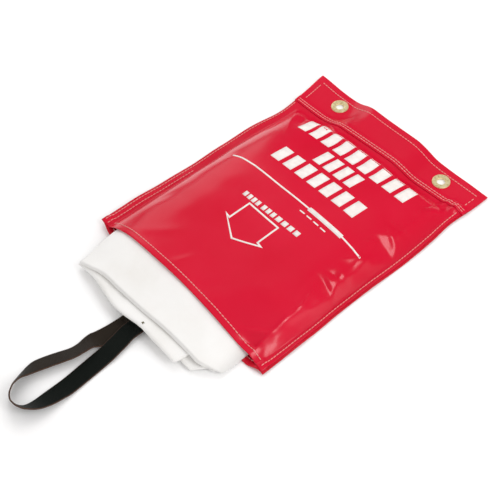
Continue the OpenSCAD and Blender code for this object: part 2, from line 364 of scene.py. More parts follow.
def normals(surface, x, d, step=0.35):
    """Unit normals of a surface, from its slopes over a short step."""
    across = surface(x + step, d) - surface(x - step, d)
    along = surface(x, d + step) - surface(x, d - step)
    n = np.cross(across, along)
    return n / np.linalg.norm(n, axis=-1, keepdims=True)


# ---- mesh making

def make_mesh(name, points, faces, material, uvs=None):
    """A mesh object through points in millimetres; uvs hold a flat place in metres per point."""
    mesh = bpy.data.meshes.new(name)
    mesh.from_pydata((np.asarray(points, float) * MM).tolist(), [], faces)
    mesh.update()
    if uvs is not None:
        layer = mesh.uv_layers.new(name="cloth")
        corner = np.zeros(len(mesh.loops), np.int32)
        mesh.loops.foreach_get("vertex_index", corner)
        layer.data.foreach_set("uv", np.asarray(uvs, np.float32)[corner].ravel())
    mesh.materials.append(material)
    mesh.polygons.foreach_set("use_smooth", [True] * len(mesh.polygons))
    piece = bpy.data.objects.new(name, mesh)
    bpy.context.scene.collection.objects.link(piece)
    return piece


def grid_faces(rows, columns, keep=None):
    """Four-sided faces between neighbours of a grid, or only those that keep marks."""
    faces = []
    for i in range(rows - 1):
        for j in range(columns - 1):
            if keep is None or keep[i, j]:
                a = i * columns + j
                faces.append((a, a + 1, a + columns + 1, a + columns))
    return faces


def grid_piece(name, grid, uv, material, thickness, keep=None):
    """A sheet through the mid-surface grid[row, column], given its thickness by Solidify."""
    rows, columns = grid.shape[:2]
    faces = grid_faces(rows, columns, keep)
    piece = make_mesh(name, grid.reshape(-1, 3), faces, material, uv.reshape(-1, 2) * MM)
    solid = piece.modifiers.new("Thickness", "SOLIDIFY")
    solid.thickness = thickness * MM
    solid.offset = 0
    solid.use_even_offset = False
    return piece


def flat_places(across, along):
    """The flat place (across, along) of every point of a grid."""
    return np.stack(np.meshgrid(across, along), -1)


def columns_across(half_w):
    """Places across the pouch, closer together towards the seams."""
    shoulder = 98
    outer = np.arange(shoulder, half_w, 1.15)
    inner = np.linspace(-shoulder, shoulder, 99)
    return np.concatenate([[-half_w], -outer[::-1], inner[1:-1], outer, [half_w]])


def turned_sheet(surface, xs, ds, drop, hem):
    """Grid of a panel whose edge at the mouth is turned under it (drop > 0) or over it (drop < 0),
    and its flat places."""
    under_ds = np.linspace(hem, 1.2, 6)
    turn = np.linspace(0, math.pi, 7)[1:-1]
    rows = []
    flat = []
    for d in under_ds:
        base = surface(xs, np.full_like(xs, d))
        rows.append(base - [0, 0, drop])
        flat.append(-d)
    base = surface(xs, np.full_like(xs, 0.6))
    for angle in turn:
        out = 0.72 * abs(drop) * math.sin(angle)
        rows.append(base + [0, -out, -drop * (0.5 + 0.5 * math.cos(angle))])
        flat.append(0)
    for d in ds:
        rows.append(surface(xs, np.full_like(xs, d)))
        flat.append(float(np.mean(d)))
    return np.array(rows), flat_places(xs, flat)


# Rows near the mouth, which are the same on both panels
MOUTH_ROWS = [0.9, 2, 4, 6]


def front_rows(xs, end_margin):
    """Rows up the front panel. Those near the top follow the slanted header."""
    slant_start = 196
    plain = MOUTH_ROWS + list(np.arange(8, slant_start, 2.1))
    ends = header_low(xs) + end_margin
    slanted = [slant_start + (ends - slant_start) * t for t in np.linspace(0, 1, 46)]
    return plain + slanted


def tube_faces(rings, sides, base):
    """Faces of a closed tube whose points start at base, ring after ring."""
    faces = []
    for r in range(rings - 1):
        for s in range(sides):
            a = base + r * sides + s
            b = base + r * sides + (s + 1) % sides
            faces.append((a, b, b + sides, a + sides))
    faces.append([base + s for s in range(sides)][::-1])
    faces.append([base + (rings - 1) * sides + s for s in range(sides)])
    return faces


STITCH_PITCH = 3.9
STITCH_L = 3.6
THREAD_R = 0.56
THREAD_SIDES = 7
# Along one stitch: share of its length, share of the thread's radius, and rise over the surface
STITCH_RINGS = [
    (0.0, 0.30, -0.28), (0.12, 0.85, 0.02), (0.5, 1.0, 0.12), (0.88, 0.85, 0.02), (1.0, 0.30, -0.28),
]


def stitch_row(name, surface, start, end, material, offset=0.40):
    """One row of lock stitches on a surface, from start to end, each an (x, d) place."""
    start, end = np.array(start, float), np.array(end, float)
    length = np.linalg.norm(end - start)
    count = max(2, int(length / STITCH_PITCH))
    points, faces = [], []
    direction = (end - start) / length
    skew = np.array([-direction[1], direction[0]])
    for k in range(count):
        wander = 0.10 * noise.noise((k * 0.7, start[0] * 0.1, start[1] * 0.1))
        base = len(points)
        for share, scale, rise in STITCH_RINGS:
            s = (k + 0.5) * length / count + (share - 0.5) * STITCH_L
            place = start + direction * s + skew * (wander + 0.12 * (share - 0.5))
            x, d = np.array([place[0]]), np.array([place[1]])
            centre = surface(x, d)[0]
            n = normals(surface, x, d)[0]
            ahead = surface(x + direction[0] * 0.3, d + direction[1] * 0.3)[0] - centre
            ahead = ahead / np.linalg.norm(ahead)
            side = np.cross(n, ahead)
            for a in range(THREAD_SIDES):
                angle = 2 * math.pi * a / THREAD_SIDES
                ring = side * math.cos(angle) * THREAD_R + n * math.sin(angle) * THREAD_R * 0.8
                points.append(centre + n * (offset + rise) + ring * scale)
        faces += tube_faces(len(STITCH_RINGS), THREAD_SIDES, base)
    return make_mesh(name, points, faces, material)


# ---- materials

def new_material(name):
    """A material with its node tree and its main shader."""
    material = bpy.data.materials.new(name)
    material.use_nodes = True
    tree = material.node_tree
    shader = next(n for n in tree.nodes if n.type == "BSDF_PRINCIPLED")
    return material, tree, shader


def node(tree, kind, **settings):
    """A shader node, with each setting put on the socket or property of that name."""
    made = tree.nodes.new(kind)
    for key, value in settings.items():
        if key in made.inputs:
            made.inputs[key].default_value = value
        else:
            setattr(made, key, value)
    return made


def coordinates(tree, uv=False):
    """Places in metres, on the object or on the flat cloth."""
    if uv:
        return node(tree, "ShaderNodeUVMap", uv_map="cloth").outputs["UV"]
    return node(tree, "ShaderNodeTexCoord").outputs["Object"]


def noise_texture(tree, place, scale, detail=3.0, roughness=0.5):
    made = node(tree, "ShaderNodeTexNoise", Scale=scale, Detail=detail, Roughness=roughness)
    tree.links.new(place, made.inputs["Vector"])
    return made.outputs["Fac"]


def ramp(tree, value, stops):
    """Colours at places along a value from 0 to 1."""
    made = node(tree, "ShaderNodeValToRGB")
    elements = made.color_ramp.elements
    while len(elements) < len(stops):
        elements.new(0.5)
    for element, (place, colour) in zip(elements, stops):
        element.position = place
        element.color = (*colour, 1)
    tree.links.new(value, made.inputs["Fac"])
    return made.outputs["Color"]


def to_range(tree, value, low, high, from_low=0.0, from_high=1.0):
    """The value moved from its own range to the one from low to high."""
    made = node(tree, "ShaderNodeMapRange")
    made.inputs["From Min"].default_value = from_low
    made.inputs["From Max"].default_value = from_high
    made.inputs["To Min"].default_value = low
    made.inputs["To Max"].default_value = high
    tree.links.new(value, made.inputs["Value"])
    return made.outputs["Result"]


def bump(tree, height, strength, distance, under=None):
    """Normals raised by a height, over those of another bump if there is one."""
    made = node(tree, "ShaderNodeBump", Strength=strength, Distance=distance)
    tree.links.new(height, made.inputs["Height"])
    if under is not None:
        tree.links.new(under, made.inputs["Normal"])
    return made.outputs["Normal"]


def maths(tree, operation, a, b=0.0):
    """One sum on two values, each a number or a socket."""
    made = node(tree, "ShaderNodeMath", operation=operation)
    for socket, value in zip(made.inputs, (a, b)):
        if isinstance(value, (int, float)):
            socket.default_value = value
        else:
            tree.links.new(value, socket)
    return made.outputs[0]


def parts_of(tree, place):
    """The place's x, y and z outputs."""
    split = node(tree, "ShaderNodeSeparateXYZ")
    tree.links.new(place, split.inputs[0])
    return split.outputs


def sine_along(tree, value, pitch):
    """A sine along a value, half a turn in each pitch."""
    return maths(tree, "SINE", maths(tree, "MULTIPLY", value, math.pi / pitch))


def threads(tree, place, axis, pitch):
    """Rounded threads side by side along one axis, from 0 in the gaps to 1 on their crowns."""
    return maths(tree, "ABSOLUTE", sine_along(tree, parts_of(tree, place)[axis], pitch))


def weighed(tree, a, b, share):
    """The two values added, with share of the first and the rest of the second."""
    first = maths(tree, "MULTIPLY", a, share)
    return maths(tree, "ADD", first, maths(tree, "MULTIPLY", b, 1 - share))


def weave(tree, place, pitch):
    """Plain weave: warp and weft crowns in a checker."""
    x, y, _ = parts_of(tree, place)
    product = maths(tree, "MULTIPLY", sine_along(tree, x, pitch), sine_along(tree, y, pitch))
    return to_range(tree, product, 0.0, 1.0, -1.0, 1.0)


def vinyl(name, deep, light, scrim):
    """Coated fabric: red skin with a faint cloth pattern and soft orange peel."""
    material, tree, shader = new_material(name)
    place = coordinates(tree)
    patches = noise_texture(tree, place, 14, 4)
    colour = ramp(tree, patches, [(0.30, deep), (0.72, light)])
    tree.links.new(colour, shader.inputs["Base Color"])
    rub = noise_texture(tree, place, 25, 2, 0.4)
    tree.links.new(to_range(tree, rub, 0.20, 0.28), shader.inputs["Roughness"])
    peel = noise_texture(tree, place, 240, 2)
    fine = bump(tree, weave(tree, place, 0.0011), scrim, 0.00002)
    tree.links.new(bump(tree, peel, 0.15, 0.00012, fine), shader.inputs["Normal"])
    shader.inputs["IOR"].default_value = 1.5
    shader.inputs["Specular IOR Level"].default_value = 0.5
    shader.inputs["Coat Weight"].default_value = 0.06
    shader.inputs["Coat Roughness"].default_value = 0.16
    return material


def glass_cloth():
    """White woven glass cloth, a little blotched and slubbed, with painted shade darkening the gaps of its
    weave.
    """
    material, tree, shader = new_material("glass_cloth")
    place = coordinates(tree, uv=True)
    crowns = weave(tree, place, 0.0008)
    blotch = noise_texture(tree, place, 22, 4)
    # Painted shade: the gaps between the weave's crowns are painted greyer, for a fifth of the tone. The
    # other four fifths are random blotches.
    shade = weighed(tree, crowns, blotch, 0.2)
    grey, mid, white = (0.78, 0.76, 0.72), (0.86, 0.85, 0.83), (0.90, 0.90, 0.89)
    colour = ramp(tree, shade, [(0.15, grey), (0.5, mid), (0.9, white)])
    tree.links.new(colour, shader.inputs["Base Color"])
    slub = noise_texture(tree, place, 260, 3)
    rough = bump(tree, slub, 0.35, 0.0003)
    tree.links.new(bump(tree, crowns, 0.25, 0.00012, rough), shader.inputs["Normal"])
    tree.links.new(to_range(tree, slub, 0.62, 0.85), shader.inputs["Roughness"])
    shader.inputs["Sheen Weight"].default_value = 0.25
    shader.inputs["Sheen Roughness"].default_value = 0.5
    return material


def webbing():
    """Black webbing: ribs along it and a twill across them, with painted light and shade: one leg painted
    browner as if lit, the rest greener black as if shaded, and its edges painted browner as a highlight.
    """
    material, tree, shader = new_material("webbing")
    place = coordinates(tree, uv=True)
    across, along, _ = parts_of(tree, place)
    # Painted light and shade: up to about 0.13 m along, through the lower ply's tail and most of the leg
    # from it, the webbing is painted browner and lighter as if lit. From about 0.21 m on it is greener
    # black as if shaded. A random noise along it mixes in a little.
    fade_along = noise_texture(tree, place, 9, 3)
    lower = to_range(tree, along, 1.0, 0.0, 0.13, 0.21)
    lit_share = weighed(tree, lower, fade_along, 0.75)
    shaded_green, lit_brown = (0.005, 0.008, 0.006), (0.022, 0.015, 0.009)
    body = ramp(tree, lit_share, [(0.15, shaded_green), (0.85, lit_brown)])
    # Painted highlight: the outer millimetre of each edge is painted browner and lighter, where the edges
    # catch the light.
    edge = to_range(tree, maths(tree, "ABSOLUTE", across), 0.0, 1.0, 0.0088, 0.0097)
    edge_highlight_mix = node(tree, "ShaderNodeMix", data_type="RGBA")
    tree.links.new(edge, edge_highlight_mix.inputs["Factor"])
    tree.links.new(body, edge_highlight_mix.inputs["A"])
    edge_highlight_mix.inputs["B"].default_value = (0.085, 0.045, 0.03, 1)
    tree.links.new(edge_highlight_mix.outputs["Result"], shader.inputs["Base Color"])
    ribs = threads(tree, place, 0, 0.0011)
    picks = threads(tree, place, 1, 0.0016)
    height = weighed(tree, ribs, picks, 0.6)
    tree.links.new(bump(tree, height, 0.8, 0.00025), shader.inputs["Normal"])
    tree.links.new(to_range(tree, height, 0.75, 0.5), shader.inputs["Roughness"])
    shader.inputs["Sheen Weight"].default_value = 0.03
    shader.inputs["Specular IOR Level"].default_value = 0.2
    return material


def brass():
    """Yellow brass, tarnished in spots and finely scratched."""
    material, tree, shader = new_material("brass")
    place = coordinates(tree)
    tarnish = noise_texture(tree, place, 420, 5, 0.6)
    dull, yellow, bright = (0.60, 0.44, 0.18), (0.90, 0.76, 0.42), (0.96, 0.88, 0.60)
    colour = ramp(tree, tarnish, [(0.28, dull), (0.5, yellow), (0.75, bright)])
    tree.links.new(colour, shader.inputs["Base Color"])
    tree.links.new(to_range(tree, tarnish, 0.42, 0.22), shader.inputs["Roughness"])
    scratch = noise_texture(tree, place, 1800, 2)
    tree.links.new(bump(tree, scratch, 0.15, 0.00005), shader.inputs["Normal"])
    shader.inputs["Metallic"].default_value = 0.4
    return material


def plain_fibre(name, dark, light, scale, roughness):
    """Thread or ink: a mottled colour over a fine rough surface."""
    material, tree, shader = new_material(name)
    place = coordinates(tree)
    mottle = noise_texture(tree, place, scale, 3)
    tree.links.new(ramp(tree, mottle, [(0.25, dark), (0.7, light)]), shader.inputs["Base Color"])
    grain = noise_texture(tree, place, scale * 3, 2)
    tree.links.new(bump(tree, grain, 0.3, 0.0001), shader.inputs["Normal"])
    tree.links.new(to_range(tree, mottle, roughness, roughness + 0.15), shader.inputs["Roughness"])
    return material


# Materials: each vinyl has its deeper and lighter red and how much its scrim shows
RED = vinyl("red_vinyl", (0.62, 0.0018, 0.024), (0.66, 0.0025, 0.030), 0.12)
RED_BACK = vinyl("red_vinyl_back", (0.54, 0.003, 0.018), (0.60, 0.004, 0.022), 0.5)
CLOTH_LOOK = glass_cloth()
WEBBING = webbing()
BRASS = brass()
THREAD = plain_fibre("pale_thread", (0.68, 0.17, 0.17), (0.88, 0.38, 0.35), 900, 0.55)
OLIVE = plain_fibre("tack_thread", (0.07, 0.06, 0.02), (0.16, 0.14, 0.06), 1200, 0.6)
INK = plain_fibre("print_ink", (0.80, 0.72, 0.69), (0.90, 0.86, 0.82), 160, 0.38)


# ---- the pouch

def build_front():
    xs = columns_across(HALF_W - FRONT_EDGE_IN)
    grid, uv = turned_sheet(front_surface, xs, front_rows(xs, MARGIN), VINYL, HEM)
    piece = grid_piece("pouch_front", grid, uv, RED, SKIN)
    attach(piece, "pouch")
    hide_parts("front_panel", "front_mouth_hem")


def build_back():
    xs = columns_across(HALF_W)
    ds = MOUTH_ROWS + list(np.arange(8, POUCH_L - 3, 3.0)) + [POUCH_L - 1.6]
    grid, uv = turned_sheet(back_surface, xs, ds, -VINYL, HEM)
    piece = grid_piece("pouch_back", grid, uv, RED_BACK, SKIN, grommet_clear(grid))
    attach(piece, "pouch")
    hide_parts("back_panel", "back_mouth_hem")


def grommet_clear(grid):
    """Which faces of a grid stay: those clear of the grommets' barrels."""
    centre = (grid[:-1, :-1] + grid[1:, 1:]) / 2
    keep = np.ones(centre.shape[:2], bool)
    for name in ("left_grommet", "right_grommet"):
        low, high = cad_box(name)
        middle = (low + high) / 2
        reach = np.hypot(centre[..., 0] - middle[0], centre[..., 1] - middle[1])
        keep &= reach > BARREL_CLEAR
    return keep


def build_facing():
    xs = columns_across(HALF_W)
    lows = header_low(xs)
    fold_d = POUCH_L - 0.9
    ds = [lows + (fold_d - lows) * t for t in np.linspace(0, 1, 34)]
    rows = [facing_surface(xs, d) for d in ds]
    flat = [np.mean(d) for d in ds]
    top = facing_surface(xs, np.full_like(xs, fold_d))
    for angle in np.linspace(0, math.pi, 7)[1:]:
        rows.append(top + [0, 0.85 * math.sin(angle), -VINYL * (0.5 - 0.5 * math.cos(angle))])
        flat.append(POUCH_L + 1)
    grid = np.array(rows)
    piece = grid_piece("header_band", grid, flat_places(xs, flat), RED, SKIN, grommet_clear(grid))
    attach(piece, "pouch")
    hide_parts("header_facing")


def add_stitches(name, cad_node, surface, start, end, offset=0.40):
    """A row of stitches that rides the pouch, and the CAD row that it stands in for, if any."""
    piece = stitch_row(name, surface, start, end, THREAD, offset)
    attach(piece, "pouch")
    if cad_node:
        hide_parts(cad_node)


def back_hem_surface(x, d):
    """The upper face of the back panel's turned hem."""
    return back_surface(x, d) + [0, 0, VINYL]


def build_stitches():
    left_x, left_inner_x, right_x = HALF_W - 3.6, HALF_W - 8.8, HALF_W - 6.2
    edge_x = HALF_W - 8.5
    row_x = HALF_W - 3
    top_d = POUCH_L - 8
    hem_d = HEM - 1.6
    side_in = MARGIN + 4
    add_stitches("header_edge_row", "header_edge_stitch", facing_surface, (-edge_x, top_d), (edge_x, top_d))
    for name, x in (("header_left_row", -edge_x), ("header_right_row", edge_x)):
        add_stitches(name, None, facing_surface, (x, header_low(x) + side_in), (x, top_d - 4))
    add_stitches("left_side_row", "left_side_stitch", front_surface,
                 (-left_x, 3), (-left_x, header_low(-left_x) - 2))
    add_stitches("left_inner_row", None, front_surface, (-left_inner_x, 1.5), (-left_inner_x, 118))
    add_stitches("right_side_row", "right_side_stitch", front_surface,
                 (right_x, 3), (right_x, header_low(right_x) - 2))
    add_stitches("front_hem_row", "front_hem_stitch", front_surface,
                 (-POCKET_LEFT_W + 2, hem_d), (POCKET_HALF_W - 2, hem_d))
    for number, inset in ((1, 3.0), (2, 6.0)):
        add_stitches(f"header_lower_row_{number}", f"header_lower_stitch_{number}", facing_surface,
                     (-row_x, header_low(-row_x) + inset), (row_x, header_low(row_x) + inset))
    add_stitches("back_hem_row", "back_hem_stitch", back_hem_surface,
                 (-POCKET_HALF_W + 7, hem_d), (POCKET_HALF_W - 7, hem_d), offset=0.36)


def finish_grommets():
    """The CAD grommets and washers, with a brass look and crisp edges."""
    for name in ("left_grommet", "right_grommet", "left_washer", "right_washer"):
        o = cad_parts[name]
        o.data.materials.clear()
        o.data.materials.append(BRASS)
        o.data.polygons.foreach_set("use_smooth", [True] * len(o.data.polygons))
        split = o.modifiers.new("Edges", "EDGE_SPLIT")
        split.split_angle = math.radians(38)


# ---- the screen print

# The print climbs a little towards the right, and its ink stands on the panel between two heights
PRINT_SLOPE = 0.03
INK_LEVELS = (0.30, 0.50)


def print_patch(corners, points, faces, cells=(3, 6)):
    """A thin patch of ink on the front panel, between four (x, d) corners in order."""
    a, b, c, e = (np.array(p, float) for p in corners)
    us, vs = np.linspace(0, 1, cells[0] + 1), np.linspace(0, 1, cells[1] + 1)
    u, v = np.meshgrid(us, vs)
    u, v = u[..., None], v[..., None]
    flat = (a * (1 - u) + b * u) * (1 - v) + (e * (1 - u) + c * u) * v
    x, d = flat[..., 0], flat[..., 1]
    mid = front_surface(x, d)
    n = normals(front_surface, x, d)
    rows, columns = x.shape
    base = len(points)
    for level in INK_LEVELS:
        points.extend((mid + n * level).reshape(-1, 3))
    count = rows * columns
    cells_of = grid_faces(rows, columns)
    top = [tuple(base + count + i for i in f) for f in cells_of]
    under = [tuple(base + i for i in f[::-1]) for f in cells_of]
    ring = [j for j in range(columns)] + [i * columns + columns - 1 for i in range(1, rows)]
    ring += [(rows - 1) * columns + j for j in range(columns - 2, -1, -1)]
    ring += [i * columns for i in range(rows - 2, 0, -1)]
    sides = []
    for p, q in zip(ring, ring[1:] + ring[:1]):
        sides.append((base + p, base + q, base + count + q, base + count + p))
    faces.extend(top + under + sides)


def print_line(places, width, points, faces, closed=False):
    """Ink lines of one width through (x, d) places, mitred where they meet."""
    pts = [np.array(p, float) for p in places]
    count = len(pts)
    offsets = []
    for i in range(count):
        before = pts[i] - pts[i - 1] if closed or i > 0 else pts[i + 1] - pts[i]
        after = pts[(i + 1) % count] - pts[i] if closed or i < count - 1 else before
        before, after = before / np.linalg.norm(before), after / np.linalg.norm(after)
        across = np.array([-(before + after)[1], (before + after)[0]])
        across = across / np.linalg.norm(across)
        cosine = max(0.35, float(across @ np.array([-before[1], before[0]])))
        offsets.append(across * width / 2 / cosine)
    for i in range(count if closed else count - 1):
        j = (i + 1) % count
        cells = max(1, int(np.linalg.norm(pts[j] - pts[i]) / 2.5))
        corners = [pts[i] + offsets[i], pts[i] - offsets[i], pts[j] - offsets[j], pts[j] + offsets[j]]
        print_patch(corners, points, faces, (1, cells))


def block_row(left, right, low, high, count, points, faces, gap=0.30):
    """A row of plain blocks, which stands where the pouch has a line of lettering."""
    width = (right - left) / (count - gap)
    for k in range(count):
        x0 = left + k * width
        x1 = x0 + width * (1 - gap)
        rise0, rise1 = PRINT_SLOPE * x0, PRINT_SLOPE * x1
        cells = (max(1, round((x1 - x0) / 3)), max(2, round((high - low) / 3)))
        corners = [(x0, low + rise0), (x1, low + rise1), (x1, high + rise1), (x0, high + rise0)]
        print_patch(corners, points, faces, cells)


# Large rows of blocks: left and right end, lower and upper edge, and how many blocks. The small
# ones share their edges.
LARGE_ROWS = [(-78, 79, 239, 263.5, 9), (-24, 31, 209.4, 232.8, 4), (-57, 63, 179.7, 202.7, 7)]
SMALL_ROWS = [(-35, -12, 4), (-8, 10.5, 3), (13, 45, 4)]
SMALL_EDGES = (119.3, 125.8)
DIVIDER = [
    (-87, 150.5), (-75, 153), (-55, 154.8), (0, 155), (25, 155.3), (76, 156.2), (90, 156), (102.3, 154.6),
]
BAR = [(27, 155.3), (74, 156.1)]
ARROW = [(-20.4, 115.5), (24, 114.7), (23.7, 87), (29.5, 85.8), (1.4, 71.8), (-26.6, 89.3), (-20.7, 88)]
LINE_W = 2.0


def build_print():
    points, faces = [], []
    for row in LARGE_ROWS:
        block_row(*row, points, faces)
    for left, right, count in SMALL_ROWS:
        block_row(left, right, *SMALL_EDGES, count, points, faces, gap=0.28)
    print_line(DIVIDER, LINE_W, points, faces)
    print_line(BAR, 5.5, points, faces)
    for left in (22, 32, 42, 52):
        print_line([(left, 147), (left + 7, 147.2)], 1.6, points, faces)
    print_line(ARROW, LINE_W, points, faces, closed=True)
    piece = make_mesh("screen_print", points, faces, INK)
    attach(piece, "pouch")


# ---- the blanket

def top_front(x):
    """Distance of the top flap's front edge from the mouth."""
    slant = 5 * smooth(-95, -55, x) + 6 * smooth(-30, 60, x) + 12 * smooth(78, 102, x)
    return -51.5 + slant + 0.9 * ripple(x, 0 * x, 40, 2.2)


def second_front(x):
    """The second fold stands furthest out, and its cloth ends near the right."""
    slant = 3.8 * smooth(-25, 25, x) - 1.0 * hump(x, -20, 18)
    out = -53 - 7.5 * smooth(-78, -20, x) + slant + 0.8 * ripple(x, 0 * x, 35, 3.3)
    return out + (top_front(x) + 4 - out) * smooth(62, 67.5, x)


def lowest_front(x):
    """The lowest fold shows in two lumps beyond the end of the second."""
    return -49 + 12 * smooth(80, 86, x) + 12 * smooth(90, 101, x) + 1.2 * ripple(x, 0 * x, 20, 4.1)


def strap_hollow(x, d):
    """How far the cloth rises over the webbing ends sewn beneath it."""
    across = smooth(-26, -19, x) * (1 - smooth(14, 21.5, x))
    return 3.9 * across * (1 - smooth(-15, -8, d))


def stack_floor(x, d):
    """Lower surface of the folded stack."""
    return STACK_FLOOR + strap_hollow(x, d)


def stack_top(x, d):
    """Upper surface of the folded stack: it fits the mouth, sinks towards its front, and tapers
    with the pouch towards its back."""
    mouth = mouth_height(np.clip(x, -BLANKET_HALF_W, BLANKET_HALF_W))
    full = mouth - 1.0 - 2.0 * smooth(86, 100, x)
    wrinkles = 0.9 * ripple(x, d, 34, 9.1) + 0.5 * ripple(x + 0.5 * d, d * 0.4, 15, 6.3)
    full = full - (0.6 + 0.7 * wrinkles) * smooth(6, -6, d)
    sink = 1 - 0.30 * smooth(2, -54, d) - 0.05 * smooth(2, -20, d)
    taper = fade(x, d + STOWED_IN) * (1 - 0.06 * smooth(96, 150, d))
    return STACK_FLOOR + (full - STACK_FLOOR) * sink * taper


def layer_places(x0, x1):
    """Places across one layer of cloth, closer together where the second fold ends."""
    plain = np.arange(-90, 90, 8.0)
    close = np.arange(59, 71, 1.5)
    inside = np.union1d(plain[(plain < 58) | (plain > 71)], close)
    low, high = min(x0, x1), max(x0, x1)
    apart = 2
    inside = inside[(inside > low + apart) & (inside < high - apart)]
    xs = np.concatenate([[low], inside, [high]])
    return xs if x0 < x1 else xs[::-1]


# Where each layer of a strip ends, from the lowest layer up
LAYER_RIGHTS = [101, 93, 93, 85, 85, 101]
LAYER_LEFTS = [-100.5, -100.5, -96, -96, -99, -99]


def accordion_columns():
    """Places along one row of cloth: x, height among the strip's layers from 0 to 1, and the
    length of cloth up to there."""
    places = []
    along = 0.0
    for a in range(LAYERS):
        heading_left = a % 2 == 0
        x0, x1 = LAYER_RIGHTS[a], LAYER_LEFTS[a]
        if not heading_left:
            x0, x1 = x1, x0
        for x in layer_places(x0, x1):
            places.append((x, (a + 0.5) / LAYERS, along + abs(x - x0)))
        along += abs(x1 - x0)
        if a < LAYERS - 1:
            out = -1.1 if heading_left else 1.1
            for angle in (-50, 0, 50):
                c, s = math.cos(math.radians(angle)), math.sin(math.radians(angle))
                length = along + FOLD_L / 2 + angle / 90
                places.append((x1 + out * c, (a + 1 + 0.5 * s) / LAYERS, length))
            along += FOLD_L
    return np.array(places)


def strip_rows():
    """Rows along the cloth: strip number, share of the way to the front, and turn angle or None."""
    finer_from = 0.76
    front_part = np.linspace(finer_from, 1.0, 19)
    back_part = np.linspace(0.0, finer_from, 11)[:-1]
    forward = np.concatenate([back_part, front_part])
    turns = np.linspace(0, 180, 9)[1:-1]
    rows = []
    for b in range(STRIPS):
        shares = forward if b % 2 == 0 else forward[::-1]
        rows += [(b, t, None) for t in shares]
        if b < STRIPS - 1:
            end = 1.0 if b % 2 == 0 else 0.0
            rows += [(b, end, angle) for angle in turns]
    return rows


def stack_place(x, layer, b, share, angle):
    """Distance from the mouth and height share (0 to 1) of the cloth in the stack."""
    fronts = [lowest_front, lowest_front, second_front, second_front, top_front]
    front = fronts[b](x) + (STRIP_TURN if b < STRIPS - 1 else 0)
    back = STACK_BACK - 7 - (0 if b else 3)
    d = back + (front - back) * share
    if angle is None:
        level = b + layer if b % 2 == 0 else b + 1 - layer
    else:
        turn = math.radians(angle)
        at_front = b % 2 == 0
        radius = (1 - layer) if at_front else layer
        level = b + 1 - radius * math.cos(turn)
        reach = radius * STRIP_TURN * math.sin(turn)
        d = d - reach if at_front else d + reach
    edge_from = 0.9
    if b == STRIPS - 1 and share > edge_from:
        d = d + 1.3 * np.sin(layer * 14) * (share - edge_from) / 0.1
    return d, level / STRIPS


def build_blanket():
    columns = accordion_columns()
    xs, layers, across = columns[:, 0], columns[:, 1], columns[:, 2]
    grid, flat = [], []
    previous = None
    along = 0.0
    for b, share, angle in strip_rows():
        d, level = stack_place(xs, layers, b, share, angle)
        low, high = stack_floor(xs, d), stack_top(xs, d)
        wave = 0.5 * ripple(xs + 31 * b, d + 17 * b, 21, 1.9) * (1 - level) * smooth(4, -10, d)
        z = np.maximum(low + level * (high - low) + wave, low)
        drawn_in = 5 * smooth(-4, -52, d) * smooth(-50, -100, xs)
        grid.append(np.stack([xs + drawn_in, MOUTH_Y + d, z], -1))
        middle = float(np.mean(d))
        along += 0 if previous is None else max(abs(middle - previous), 0.8)
        previous = middle
        flat.append(along)
    piece = grid_piece("blanket_cloth", np.array(grid), flat_places(across, flat), CLOTH_LOOK, CLOTH)
    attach(piece, "blanket")
    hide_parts("folded_blanket")


# ---- the strap

LOWER_PLY_Z = 2.9
UPPER_PLY_Z = 4.7
LOWER_ROOT_X = -17.5
UPPER_ROOT_X = -7
# The CAD strap's route, spread a little wider at its root and with the far bend leant a little
# more: the webbing's floor-side edge as x, distance out from the blanket and height, then the
# lean of its width and its heading in plan.
STRAP_ROUTE = [
    (LOWER_ROOT_X, 0.5, LOWER_PLY_Z, 0, 0), (-18.5, 8, 1.9, 0, -2), (-20, 18, 0.9, 0, -4),
    (-22, 30, 0.9, 0, -4), (-23.5, 36, 0.9, 4, -5), (-23.2, 43, 0.9, 18, -6),
    (-22, 52, 0.9, 25, -8), (-23, 61, 0.9, 25, -12), (-27, 72, 0.9, 23, -18),
    (-31, 83, 0.9, 22, -23), (-34.6, 96, 0.9, 23, -28), (-34.5, 104, 0.9, 29, -33),
    (-32.3, 113, 0.9, 42, -34),
    (-28.5, 126, 0.9, 54, -20), (-25.5, 131.5, 0.9, 57, -15), (-21.5, 136.5, 0.9, 57, -15),
    (-15, 140, 0.9, 57, -15), (-8, 139.5, 0.9, 56, -16), (-3, 136.5, 0.9, 54, -20),
    (0, 132, 0.9, 48, -22), (1.2, 123, 0.9, 30, -12),
    (1, 111, 0.9, 15, -5), (1, 99, 0.9, 8, -5), (0.7, 86, 0.9, 2, -6), (-1.5, 58, 0.9, 0, -3),
    (-2.4, 43, 1.6, 0, 1), (-2.8, 36, 2.4, 0, 3), (-3.7, 30, 2.9, 0, 4), (-5.6, 18, 3.1, 0, 4),
    (-7, 8, 4.2, 0, 2), (UPPER_ROOT_X, 0.5, UPPER_PLY_Z, 0, 0),
]


def strap_stations():
    """Edge point and width direction for each place along the webbing, tails included."""
    lower = [(LOWER_ROOT_X, -TAIL_L + t, LOWER_PLY_Z, 0, 0) for t in (0, 12, 24, 33)]
    upper = [(UPPER_ROOT_X, -t, UPPER_PLY_Z, 0, 0) for t in (7, 16, 28, TAIL_L)]
    stations = []
    for x, out, z, lean, heading in lower + STRAP_ROUTE + upper:
        l, h = math.radians(lean), math.radians(heading)
        width = np.array([math.cos(l) * math.cos(h), math.cos(l) * math.sin(h), math.sin(l)])
        stretched = out * ROUTE_SHARE if out > 0 else out
        stations.append(np.concatenate([[x, MOUTH_Y - ROOT_OUT - stretched, z], width]))
    return np.array(stations)


